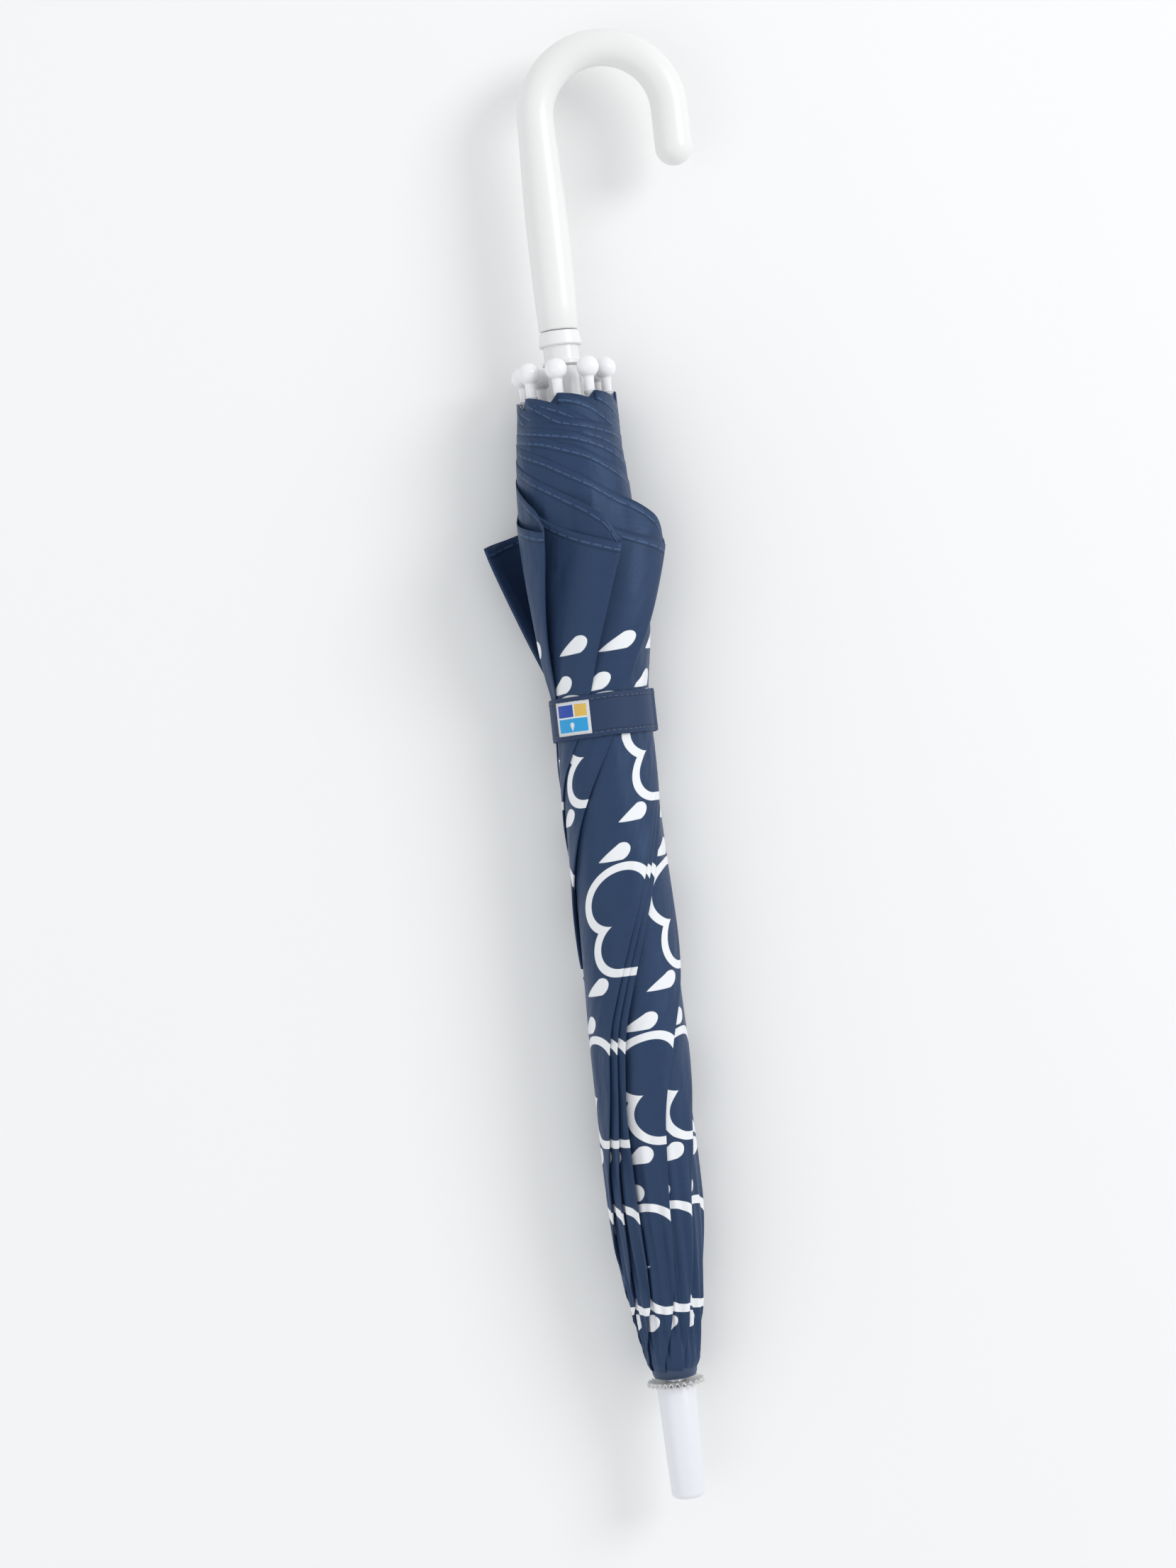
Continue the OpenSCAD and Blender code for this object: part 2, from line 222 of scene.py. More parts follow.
def carry(bm, ring, turn=0.0, centre=(0, 0, 0), move=(0, 0, 0), grow=1.0):
    """Extrudes a ring of edges, then turns it about Z, moves it and sizes it."""
    made = bmesh.ops.extrude_edge_only(bm, edges=ring)["geom"]
    verts = [part for part in made if isinstance(part, bmesh.types.BMVert)]
    if turn:
        bmesh.ops.rotate(bm, verts=verts, cent=centre, matrix=Matrix.Rotation(turn, 3, "Z"))
    bmesh.ops.translate(bm, verts=verts, vec=move)
    middle = sum((vert.co for vert in verts), Vector()) / len(verts)
    bmesh.ops.scale(bm, verts=verts, vec=(grow,) * 3, space=Matrix.Translation(-middle))
    return [part for part in made if isinstance(part, bmesh.types.BMEdge)]


def add_piece(name, bm, finish, body, smooth=True):
    """Makes a closed bmesh a piece that rides on a body."""
    bmesh.ops.remove_doubles(bm, verts=bm.verts, dist=1e-6)
    bmesh.ops.recalc_face_normals(bm, faces=bm.faces)
    for face in bm.faces:
        face.smooth = smooth
    mesh = bpy.data.meshes.new(name)
    bm.to_mesh(mesh)
    bm.free()
    mesh.materials.append(finish)
    piece = bpy.data.objects.new(name, mesh)
    bpy.context.scene.collection.objects.link(piece)
    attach(piece, body)
    return piece


handle_low, handle_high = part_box("handle")
CROOK_D = 0.0166
CROOK_R = (handle_high.x - CROOK_D / 2) / 2
CROOK_HEIGHT = handle_high.y - CROOK_R - CROOK_D / 2
CROOK_TAIL = 0.018
CROOK_STEPS = 36
FOOT_D = 0.0178
GRIP_D = 0.019
FOOT_EDGE = 0.0008
handle_white = moulded("handle_plastic", (0.86, 0.86, 0.85, 1), (0.83, 0.83, 0.82, 1), 0.36,
                       Coat_Weight=0.15, Coat_Roughness=0.25)

bm = bmesh.new()
bmesh.ops.create_circle(bm, cap_ends=True, segments=56, radius=FOOT_D / 2 - FOOT_EDGE,
                        matrix=Matrix.Translation((0, handle_low.y, 0))
                        @ Matrix.Rotation(math.pi / 2, 4, "X"))
ring = list(bm.edges)
radius = FOOT_D / 2 - FOOT_EDGE
height = handle_low.y
middle_height = (handle_low.y + CROOK_HEIGHT) / 2
stem = [(0.00025, FOOT_D / 2 - 0.0003), (FOOT_EDGE, FOOT_D / 2)]
stem += [((middle_height - handle_low.y) * share, FOOT_D / 2 + (GRIP_D - FOOT_D) / 2 * bulge)
         for share, bulge in ((0.25, 0.45), (0.5, 0.78), (0.75, 0.95), (1.0, 1.0))]
stem += [(middle_height - handle_low.y + (CROOK_HEIGHT - middle_height) * share,
          GRIP_D / 2 - (GRIP_D - CROOK_D) / 2 * drop)
         for share, drop in ((0.25, 0.12), (0.5, 0.4), (0.75, 0.75), (1.0, 1.0))]
for rise, wide in stem:
    ring = carry(bm, ring, move=(0, handle_low.y + rise - height, 0), grow=wide / radius)
    height = handle_low.y + rise
    radius = wide
for step in range(CROOK_STEPS):
    ring = carry(bm, ring, turn=-math.pi / CROOK_STEPS, centre=(CROOK_R, CROOK_HEIGHT, 0))
for step in range(3):
    ring = carry(bm, ring, move=(0, -CROOK_TAIL / 3, 0))
end_angle = 0.0
for step in range(1, 9):
    angle = step * math.pi / 2 / 8.2
    drop = CROOK_D / 2 * (math.sin(angle) - math.sin(end_angle))
    ring = carry(bm, ring, move=(0, -drop, 0), grow=math.cos(angle) / math.cos(end_angle))
    end_angle = angle
bmesh.ops.contextual_create(bm, geom=ring)
grip = add_piece("handle_grip", bm, handle_white, "root")
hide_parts("handle")


# ---- Shaft, pins and catches ----
# The shaft is a drawn steel tube, plated bright. Its cross pins are wire, and the two
# sprung catches are stamped from strip steel.

def metal(name, light, dark, roughness, grain=0.000004):
    """Drawn or plated steel, with fine lines along the umbrella and dull patches."""
    material, shader, place = new_finish(name, roughness, Metallic=1.0)
    patches = place.noise(45.0, 4.0, (1, 0.3, 1))
    plug(shader, "Base Color", patches.mix(light, dark))
    plug(shader, "Roughness", roughness - 0.05 + patches * 0.12)
    lines = place.noise(900.0, 2.0, (1, 0.02, 1))
    plug(shader, "Normal", lines.bump(grain))
    return material


def paint_nodes(finish, *names):
    for name in names:
        frame["nodes"][name].material_slots[0].material = finish


bright_steel = metal("bright_steel", (0.82, 0.83, 0.85, 1), (0.70, 0.71, 0.74, 1), 0.16)
wire_steel = metal("wire_steel", (0.72, 0.72, 0.74, 1), (0.55, 0.55, 0.58, 1), 0.32)
spring_steel = metal("spring_steel", (0.58, 0.59, 0.62, 1), (0.46, 0.47, 0.50, 1), 0.28)
rib_steel = metal("rib_steel", (0.80, 0.81, 0.83, 1), (0.66, 0.67, 0.70, 1), 0.30)
paint_nodes(bright_steel, "shaft")
paint_nodes(wire_steel, "crown_pin", "stop_pin", "crown_ring", "runner_ring")
paint_nodes(spring_steel, "top_catch", "bottom_catch")


# ---- Ribs and stretchers ----
# Each rib and each stretcher is folded from thin plated strip into a channel, and a
# steel rivet joins the two.

RIBS = range(1, 9)
for k in RIBS:
    paint_nodes(rib_steel, f"rib_{k}", f"stretcher_{k}")
    paint_nodes(wire_steel, f"rivet_{k}")


# ---- Crown, runner and ferrule ----
# Moulded plastic parts: the slotted crown is pinned to the shaft, the runner slides on
# it, and the ferrule is a hollow cap pressed over its end.

crown_plastic = moulded("crown_plastic", (0.030, 0.030, 0.033, 1), (0.022, 0.022, 0.025, 1),
                        0.42, 0.00002)
runner_plastic = moulded("runner_plastic", (0.86, 0.86, 0.86, 1), (0.83, 0.83, 0.835, 1), 0.30,
                         Coat_Weight=0.1)
ferrule_plastic = moulded("ferrule_plastic", (0.83, 0.83, 0.88, 1), (0.80, 0.80, 0.85, 1), 0.30,
                          Coat_Weight=0.2, Coat_Roughness=0.2)
paint_nodes(crown_plastic, "crown")
paint_nodes(runner_plastic, "runner")

ferrule_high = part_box("ferrule")[1]
FERRULE_FILLET = 0.0026
FERRULE_END_R = 0.0075
FERRULE_TOP_R = ferrule_high.x
FERRULE_BORE_R = 0.00405
profile = [(0.0004, 0.0), (FERRULE_END_R - FERRULE_FILLET, 0.0)]
profile += [(FERRULE_END_R - FERRULE_FILLET * (1 - math.cos(math.radians(turn))),
             FERRULE_FILLET * (1 + math.sin(math.radians(turn)))) for turn in range(-80, 1, 10)]
profile += [(FERRULE_TOP_R - 0.0005, ferrule_high.y - 0.0006),
            (FERRULE_TOP_R - 0.0008, ferrule_high.y), (FERRULE_BORE_R + 0.0004, ferrule_high.y),
            (FERRULE_BORE_R, ferrule_high.y - 0.0004), (FERRULE_BORE_R, ferrule_high.y - 0.037)]


def turn_profile(bm, profile, steps=64, lift=0.0):
    """Spins a profile of (radius, height) points round the shaft's line."""
    verts = [bm.verts.new((radius, height + lift, 0)) for radius, height in profile]
    edges = [bm.edges.new(pair) for pair in zip(verts, verts[1:])]
    bmesh.ops.spin(bm, geom=verts + edges, cent=(0, 0, 0), axis=(0, 1, 0),
                   angle=2 * math.pi, steps=steps, use_merge=True)


bm = bmesh.new()
turn_profile(bm, profile)
rims = [edge for edge in bm.edges if edge.is_boundary]
bmesh.ops.holes_fill(bm, edges=rims, sides=0)
ferrule_cap = add_piece("ferrule_cap", bm, ferrule_plastic, "root")
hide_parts("ferrule")


# ---- Crown washer ----
# A soft frosted washer with a ruffled rim, pushed over the shaft to press the gathered
# cloth against the crown.

RUFFLES = 26
RUFFLE_RISE = 0.0011
frosted, shader, place = new_finish("frosted_plastic", 0.35, Transmission_Weight=0.2,
                                    IOR=1.45, Coat_Weight=0.2)
cloudy = place.noise(260.0, 3.0)
plug(shader, "Base Color", cloudy.mix((0.80, 0.80, 0.78, 1), (0.90, 0.90, 0.88, 1)))
plug(shader, "Normal", place.noise(900.0, 2.0).bump(0.00003))
washer_low, washer_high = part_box("crown_washer")
washer_r = washer_high.x
washer_middle = (washer_low.y + washer_high.y) / 2
bm = bmesh.new()
verts = [bm.verts.new((radius, washer_middle, 0))
         for radius in np.linspace(0.00425, washer_r, 14)]
edges = [bm.edges.new(pair) for pair in zip(verts, verts[1:])]
bmesh.ops.spin(bm, geom=verts + edges, cent=(0, 0, 0), axis=(0, 1, 0),
               angle=2 * math.pi, steps=RUFFLES * 10, use_merge=True)
for vert in bm.verts:
    out = math.hypot(vert.co.x, vert.co.z)
    angle = math.atan2(vert.co.z, vert.co.x)
    share = max(0.0, (out / washer_r - 0.62) / 0.38) ** 1.4
    vert.co.y += RUFFLE_RISE * share * math.sin(RUFFLES * angle + 0.8 * math.sin(3 * angle))
    trim = 1 - 0.035 * share * (1 - math.cos(RUFFLES * angle + 1.1)) / 2
    vert.co.x *= trim
    vert.co.z *= trim
bmesh.ops.solidify(bm, geom=bm.faces, thickness=0.0005)
washer = add_piece("ruffled_washer", bm, frosted, "root")
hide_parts("crown_washer")


# ---- Canopy: cloth and its print ----
# Navy polyester in a close satin weave, cut as eight gores and printed white with cloud
# outlines and raindrops. The hem is turned over and sewn with paler thread.

CROWN_HEIGHT = 0.064
PRINT_ACROSS = 0.070
PRINT_ALONG = 0.076
PRINT_FIRST = 0.0465
PRINT_TILT = math.radians(20)
# The print's last cloud and drop before the hem, and the size of its shapes
LAST_CLOUD = 0.290
LAST_DROP = 0.330
OUTLINE_HALF = 0.0018
DROP_R = 0.0042
DROP_TAIL = 0.0098
DROP_LEAN = -1.13
# The hem's row of stitches, its stitches' spacing, and the edge of its turned cloth, along which a
# line of painted shade lies
HEM_STITCHES = 0.0032
HEM_PITCH = 0.0042
HEM_TURNED = 0.0045


def circle_field(x, y, centre, radius):
    """Distance from a circle's edge, below 0 inside it."""
    across = x - centre[0]
    along = y - centre[1]
    return (across * across + along * along).math("SQRT") - radius


def drop_shape(x, y, centre, radius, tail, lean):
    """1 inside a raindrop whose point leans away from its round end."""
    across = (x - centre[0]) * math.cos(lean) + (y - centre[1]) * math.sin(lean)
    along = (y - centre[1]) * math.cos(lean) - (x - centre[0]) * math.sin(lean)
    ahead = along.math("MAXIMUM", 0.0)
    round_width = (radius * radius - ahead * ahead).math("MAXIMUM", 0.0).math("SQRT")
    tail_width = (along / tail + 1.0).math("MAXIMUM", 0.0).math("POWER", 0.8) * radius
    width = round_width.math("MINIMUM", tail_width)
    return (width - across.math("ABSOLUTE")).above(0.00025, 0.0002)


navy_cloth, shader, place = new_finish("navy_cloth", 0.46, Sheen_Weight=0.12, Sheen_Roughness=0.4,
                                 Specular_IOR_Level=0.40)
shader.inputs["Sheen Tint"].default_value = (0.30, 0.48, 0.90, 1)
shader.inputs["Specular Tint"].default_value = (0.45, 0.68, 1, 1)
uv = place.node("ShaderNodeUVMap", {"uv_map": "UVMap"}, {})
flat_x = uv.node("ShaderNodeSeparateXYZ", {}, {0: uv}, out=0)
flat_y = uv.node("ShaderNodeSeparateXYZ", {}, {0: uv}, out=1)
column = ((flat_x + PRINT_ACROSS / 2) / PRINT_ACROSS).math("FLOOR")
cell_x = flat_x - column * PRINT_ACROSS
shifted = flat_y + column * (PRINT_ALONG * 0.5) - PRINT_FIRST
cell_y = shifted - ((shifted / PRINT_ALONG + 0.5).math("FLOOR")) * PRINT_ALONG
cloud_up = (cell_x + 0.004) * -math.cos(PRINT_TILT) - cell_y * math.sin(PRINT_TILT)
cloud_along = cell_y * math.cos(PRINT_TILT) - (cell_x + 0.004) * math.sin(PRINT_TILT)
cloud = (cloud_along.math("ABSOLUTE") - 0.011).math(
    "MAXIMUM", (cloud_up + 0.00475).math("ABSOLUTE") - 0.00675)
for centre, radius in (((-0.011, 0.0015), 0.013), ((0.0105, 0.0025), 0.014)):
    cloud = cloud.math("MINIMUM", circle_field(cloud_along, cloud_up, centre, radius))
outline = 1 - cloud.math("ABSOLUTE").above(OUTLINE_HALF, 0.00012)
drops = None
for centre in ((-0.0095, 0.0465), (-0.0140, 0.0295), (0.021, 0.041), (0.0165, 0.026)):
    for lift in (0.0, -PRINT_ALONG):
        drop = drop_shape(cell_x, cell_y - lift, centre, DROP_R, DROP_TAIL, DROP_LEAN)
        drops = drop if drops is None else drops.math("MAXIMUM", drop)
hem_attribute = place.node("ShaderNodeAttribute", {"attribute_name": "from_hem"}, {}, out=2)
clouds = outline * (1 - (flat_y - cell_y).above(LAST_CLOUD, 0.0002))
printed = clouds.math("MAXIMUM", drops * (1 - flat_y.above(LAST_DROP, 0.0002)))
weave = (flat_x * 2600.0).math("SINE") * (flat_y * 2600.0 + flat_x * 1300.0).math("SINE")
slub = uv.noise(420.0, 3.0, (0.25, 1, 1))
tone = place.noise(14.0, 4.0)
shade = (tone * 0.55 + slub * 0.45).mix((0.0190, 0.0360, 0.083, 1), (0.0285, 0.0520, 0.114, 1))
along_hem = flat_x / HEM_PITCH
stitch_gap = (along_hem - along_hem.math("FLOOR")).above(0.22, 0.04)
stitch_row = 1 - (hem_attribute - HEM_STITCHES).math("ABSOLUTE").above(0.00034, 0.00012)
stitches = stitch_row * stitch_gap
# The turned edge of the hem is a line of painted shade in the colour, and a dip in the bump
turned_edge_and_shade_line = 1 - (hem_attribute - HEM_TURNED).math("ABSOLUTE").above(0.0004, 0.0003)
thread = stitches.mix(shade, (0.060, 0.102, 0.190, 1))
# Painted shade: the cloth and thread colour is darkened towards near-black navy along the turned
# edge
thread_and_painted_shade = (turned_edge_and_shade_line * 0.55).mix(thread, (0.012, 0.019, 0.038, 1))
plug(shader, "Base Color", printed.mix(thread_and_painted_shade, (0.86, 0.865, 0.875, 1)))
plug(shader, "Roughness", 0.40 + slub * 0.12 + printed * 0.06)
creases = uv.noise(42.0, 2.0, (1, 0.20, 1)) + uv.noise(95.0, 2.0, (1, 0.35, 1)) * 0.3
relief = weave * 0.10 + slub * 0.35 + stitches * 0.9 - turned_edge_and_shade_line * 0.9 + creases * 45.0
plug(shader, "Normal", relief.bump(0.00012, 0.8))


# ---- Canopy: the roll ----
# Each gore is one sheet sewn to two ribs. Closed, it hangs as a flap that is folded at
# its middle and wound round the ribs under the strap, so the hems lie in a spiral.

RIB_STEP = 45.0
FIRST_RIB = -10.0
ROWS = 132
COLUMNS = 124
CLOTH_FOOT = 0.0547
HEM_AT_RIB = 0.497
# The rows and columns of cloth crowd a little towards the crown and the fold
ROW_CROWDING = 1.06
FOLD_CROWDING = 1.45
HEM_AT_FOLD = [0.433, 0.435, 0.427, 0.4255, 0.428, 0.434, 0.431, 0.430]
# How far the hem rises from the fold to the rib, for the outer and the inner layer
OUTER_HEM = [(0, 0), (0.17, 0.17), (0.28, 0.33), (0.36, 0.42), (0.48, 0.55), (0.62, 0.655),
             (0.75, 0.79), (0.87, 0.925), (0.94, 0.98), (1, 1), (1.1, 1)]
INNER_HEM = [(0, 0), (0.03, 0.16), (0.10, 0.30), (0.23, 0.45), (0.40, 0.63), (0.54, 0.73),
             (0.85, 0.85), (0.94, 0.95), (1, 1), (1.1, 1)]
FOLD_REACH = [0.0405, 0.0350, 0.0350, 0.0375, 0.0330, 0.0262, 0.0245, 0.0300]
FOLD_GAP = [0.0032, 0.0085, 0.0016, 0.0016, 0.0016, 0.0014, 0.0014, 0.0016]
ROLL_RADIUS = [(0.055, 11.2), (0.064, 12.6), (0.071, 14.4), (0.090, 17.2), (0.110, 20.3),
               (0.129, 22.3), (0.158, 23.9), (0.254, 24.2), (0.292, 23.5), (0.330, 22.6),
               (0.343, 21.8), (0.363, 21.8), (0.372, 22.4), (0.390, 24.4), (0.446, 25.0),
               (0.466, 23.9), (0.500, 22.9)]
# Height of a level, then the turn in degrees of the eight folds at it
FOLD_TURNS = [
    (0.054, -345, -300, -255, -210, -165, -120, -75, -30),
    (0.064, -338, -293, -249, -203, -148, -106, -62, -18),
    (0.078, -325, -280, -243, -196, -110, -75, -38, 4),
    (0.100, -315, -270, -235, -190, -80, -52, -22, 13),
    (0.140, -308, -262, -232, -185, -62, -45, -24, 16),
    (0.177, -290, -235, -205, -160, -43, -33, -25, 22),
    (0.211, -262, -205, -178, -135, -32, -24, -15, 46),
    (0.244, -240, -182, -150, -105, -4, 3, 11, 85),
    (0.264, -220, -160, -130, -85, 13, 20, 28, 95),
    (0.312, -170, -112, -86, -33, 58, 66, 76, 135),
    (0.342, -140, -82, -34, 8, 90, 100, 110, 160),
    (0.362, -118, -62, -10, 35, 108, 119, 130, 175),
    (0.400, -100, -42, 15, 66, 128, 144, 160, 200),
    (0.430, -90, -28, 32, 88, 145, 165, 185, 222),
    (0.500, -86, -22, 38, 96, 150, 172, 194, 228)]
LEFT_SLACK = 3.6
# Below this height, in mm, the cloth is pressed flat on the floor and spreads sideways
STACK_FOOT = -19.0
LOWEST = -23.4
LOWER_SPREAD = 0.06
# Space between a flap's two layers, in mm: along it, and where it leaves its rib
LAYER_GAP = 1.4
RIB_GAP = 1.9
RIB_GAP_TURN = 20
SHAFT_SIDE = 4.5


def smooth_table(points, heights, spread=0.009):
    """Values between a table's heights, softened over a short length."""
    levels = [point[0] for point in points]
    values = [point[1] for point in points]
    shifts = np.linspace(-spread, spread, 5)
    return np.mean([np.interp(heights + shift, levels, values) for shift in shifts], axis=0)


def smooth_step(value):
    value = np.clip(value, 0, 1)
    return value * value * (3 - 2 * value)


def fold_turn(j, height):
    """Turn, in degrees, of fold j, where j runs on past the eight folds either way."""
    rounds, index = divmod(j, 8)
    return smooth_table([(row[0], row[1 + index]) for row in FOLD_TURNS], height) + 360 * rounds


def rib_turn(j):
    return FIRST_RIB - RIB_STEP * 9 + RIB_STEP * j


def rib_skin(height):
    """Radius, in mm, of the innermost cloth, just outside the ribs."""
    slope = 10.2 + np.maximum(0, height - CROWN_HEIGHT) * 25.9
    return slope + 1.0 * smooth_step((height - 0.466) / 0.02)


def layer_radius(j, turn, height):
    """Radius, in mm, of gore j's outer layer at a turn and a height."""
    inner = rib_skin(height)
    fold = fold_turn(j, height)
    before = fold_turn(j - 1, height)
    most = np.max([fold_turn(i, height) - rib_turn(i) for i in range(8)], axis=0)
    wound = np.clip(turn - rib_turn(j), 0, None)
    own = wound / (fold - rib_turn(j))
    shared = wound / most
    radius = inner + (smooth_table(ROLL_RADIUS, height) - inner) * (own + shared) / 2
    reach = FOLD_REACH[j % 8] * 1000 - smooth_table(ROLL_RADIUS, height)
    level = smooth_table([(0.364, 0), (0.430, 1), (0.450, 1.25)], height, 0.004)
    lift = smooth_step((turn - before) / np.maximum(fold - before, 1))
    return radius + np.maximum(reach, 0) * level * lift


def soft_puckers(turn, height):
    """Small shared bulges, in mm, that every layer follows alike."""
    angle = np.radians(turn)
    y = height * 1000
    slow = np.sin(2 * angle + y / 41 + 1.3) * 0.5 + np.sin(3 * angle - y / 29 + 0.4) * 0.35
    quick = np.sin(7 * angle + y / 13.0 + 2.1) * 0.16 + np.sin(11 * angle - y / 17.0) * 0.12
    return slow + quick


def pleats(turn, height):
    """Shallow lengthwise pleats, in mm, gathered at the crown and under the strap."""
    angle = np.radians(turn)
    crown = np.exp(-((height - 0.090) / 0.060) ** 2)
    waist = np.exp(-((height - 0.353) / 0.020) ** 2)
    gathered = np.sin(21 * angle + height * 30) + 0.6 * np.sin(13 * angle - height * 22 + 1)
    return 0.62 * gathered * crown + 0.20 * gathered * waist


def lay_roll(j, across, along):
    """Where the points of gore j lie when the umbrella is rolled, in metres."""
    side = 1 - np.abs(across - 0.5) * 2
    away = (1 - side) ** FOLD_CROWDING
    inner_layer = across > 0.5
    inner_hem = OUTER_HEM if j % 8 == 0 else INNER_HEM
    rise = np.where(inner_layer, smooth_table(inner_hem, away, 0.02),
                    smooth_table(OUTER_HEM, away, 0.02))
    hem = HEM_AT_FOLD[j % 8] + (HEM_AT_RIB - HEM_AT_FOLD[j % 8]) * rise
    height = CLOTH_FOOT + (hem - CLOTH_FOOT) * along ** ROW_CROWDING
    fold = fold_turn(j, height)
    start = np.where(inner_layer, rib_turn(j + 1), rib_turn(j))
    turn = fold - (fold - start) * away
    outer = layer_radius(j, turn, height)
    below = layer_radius(j + 1, turn, height)
    gap = np.maximum(outer - below, 0)
    arc = (fold - turn) * math.pi / 180 * outer
    near_rib = 1 - np.clip((turn - rib_turn(j + 1)) / RIB_GAP_TURN, 0, 1)
    share = 0.5 + 0.5 * near_rib
    level = smooth_table([(0.36, 0), (0.40, 1), (0.5, 1)], height)
    limit = LAYER_GAP + (FOLD_GAP[j % 8] * 1000 - LAYER_GAP) * level
    inset = np.minimum(gap * share, np.maximum(limit, RIB_GAP * near_rib))
    inset = inset * np.sqrt(np.clip(arc / np.maximum(inset, 0.3) / 1.2, 0, 1))
    radius = np.where(inner_layer, outer - inset, outer)
    quiet = smooth_step((height - 0.056) / 0.02)
    swell = soft_puckers(turn, height) * 0.55 * quiet * np.clip((radius - 10) / 8, 0, 1)
    calm = 1 - 0.9 * np.exp(-((height - 0.353) / 0.014) ** 4)
    radius = radius + swell * calm + pleats(turn, height) * quiet
    # The first rows run in under the washer to the shaft
    cap = np.clip(along / 0.022, 0, 1)
    radius = SHAFT_SIDE + (radius - SHAFT_SIDE) * np.sin(cap * math.pi / 2)
    angle = np.radians(turn)
    slack = smooth_table([(0.395, 0), (0.432, 1), (0.470, 1), (0.494, 0)], height)
    radius = radius + LEFT_SLACK * slack * np.clip(-np.sin(angle), 0, 1) ** 2
    x = radius * np.sin(angle)
    z = radius * np.cos(angle)
    room = LOWEST - STACK_FOOT
    z = np.where(z < STACK_FOOT, STACK_FOOT + room * np.tanh((z - STACK_FOOT) / room), z)
    lowered = np.tanh(np.clip((STACK_FOOT - z) / 4.0, 0, None))
    x = x * (1 + LOWER_SPREAD * lowered)
    return np.stack([x / 1000, height, z / 1000], axis=1)


def cloth_sheet(name, rows, columns, place, flat, finish, from_hem=None, thick=0.00022):
    """A grid laid as a sheet of cloth, with the flat cut's own size as its UV map."""
    bm = bmesh.new()
    bm.loops.layers.uv.new("UVMap")
    bmesh.ops.create_grid(bm, x_segments=columns, y_segments=rows, size=0.5, calc_uvs=True)
    for face in bm.faces:
        face.smooth = True
    mesh = bpy.data.meshes.new(name)
    bm.to_mesh(mesh)
    bm.free()
    spots = np.empty(len(mesh.vertices) * 3)
    mesh.vertices.foreach_get("co", spots)
    across, along = spots.reshape(-1, 3)[:, 0] + 0.5, spots.reshape(-1, 3)[:, 1] + 0.5
    mesh.vertices.foreach_set("co", place(across, along).ravel())
    corners = np.empty(len(mesh.loops), int)
    mesh.loops.foreach_get("vertex_index", corners)
    mesh.uv_layers["UVMap"].data.foreach_set("uv", flat(across, along)[corners].ravel())
    if from_hem is not None:
        layer = mesh.attributes.new("from_hem", "FLOAT", "POINT")
        layer.data.foreach_set("value", from_hem(across, along))
    mesh.materials.append(finish)
    mesh.update()
    piece = bpy.data.objects.new(name, mesh)
    bpy.context.scene.collection.objects.link(piece)
    wall = piece.modifiers.new("thickness", "SOLIDIFY")
    wall.thickness = thick
    wall.offset = 0
    return piece


def roll_flat(j):
    def flat(across, along):
        spot = lay_roll(j, across, along)
        down = np.maximum(spot[:, 1] - CROWN_HEIGHT, 0.002)
        away = np.abs(across * 2 - 1) ** FOLD_CROWDING
        side = np.where(across > 0.5, 1, -1)
        fold = fold_turn(j, spot[:, 1])
        start = np.where(across > 0.5, rib_turn(j + 1), rib_turn(j))
        wound = np.radians(fold - start) * away * np.hypot(spot[:, 0], spot[:, 2])
        return np.stack([side * wound, down], axis=1)
    return flat


def roll_from_hem(j):
    def from_hem(across, along):
        spot = lay_roll(j, across, along)
        end = lay_roll(j, across, np.ones_like(along))
        return end[:, 1] - spot[:, 1]
    return from_hem


for k in RIBS:
    j = k % 8
    gore = cloth_sheet(f"roll_gore_{k}", ROWS, COLUMNS,
                       lambda across, along: lay_roll(j, across, along),
                       roll_flat(j), navy_cloth, roll_from_hem(j), thick=0.0004)
    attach(gore, "root")
    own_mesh(gore)


# ---- Canopy: the open gores ----
# The same gores stretched between their ribs. Each point's rest place is carried back by its own
# share of the turn from one rib's frame to the next, so that at rest they fold away inside the
# roll.

JOINTS = {joint["name"]: joint for joint in frame["joints"]}
RIB_SWING = 63.5158
PANEL_FOLD = 46.4796
OPEN_ROWS = 44
OPEN_COLUMNS = 40
GORE_SLOPE = 0.3437
RIB_LEAN = math.radians(1.4842)
RIB_PIVOT_R = 0.0075
SKIN_OFFSET = 0.0032
HEM_REACH = HEM_AT_RIB - CROWN_HEIGHT
SCALLOP = 0.042
TOP_REACH = 0.0028
SAG = 0.075
BEND_SPAN = 0.0045


def hinge_matrix(name, share=1.0):
    """A hinge's turn at its limit, less the slack that its record range holds."""
    joint = JOINTS[name]
    pivot = Matrix.Translation(joint["pos_m"])
    limit = PANEL_FOLD if "fold" in name else RIB_SWING
    turn = Matrix.Rotation(math.radians(limit) * share, 4, joint["axis"])
    return pivot @ turn @ pivot.inverted()


def rib_name(k):
    return "open_umbrella" if k == 1 else f"rib_{k}_hinge"


def rib_line(k, reach):
    """The point on rib k's back, when it is open, at a distance from its pivot."""
    angle = math.radians(FIRST_RIB + RIB_STEP * (k - 1))
    out = RIB_PIVOT_R + reach * math.sin(RIB_LEAN) + SKIN_OFFSET
    rest = Vector((out * math.sin(angle), CROWN_HEIGHT + reach * math.cos(RIB_LEAN),
                   out * math.cos(angle)))
    return hinge_matrix(rib_name(k)) @ rest


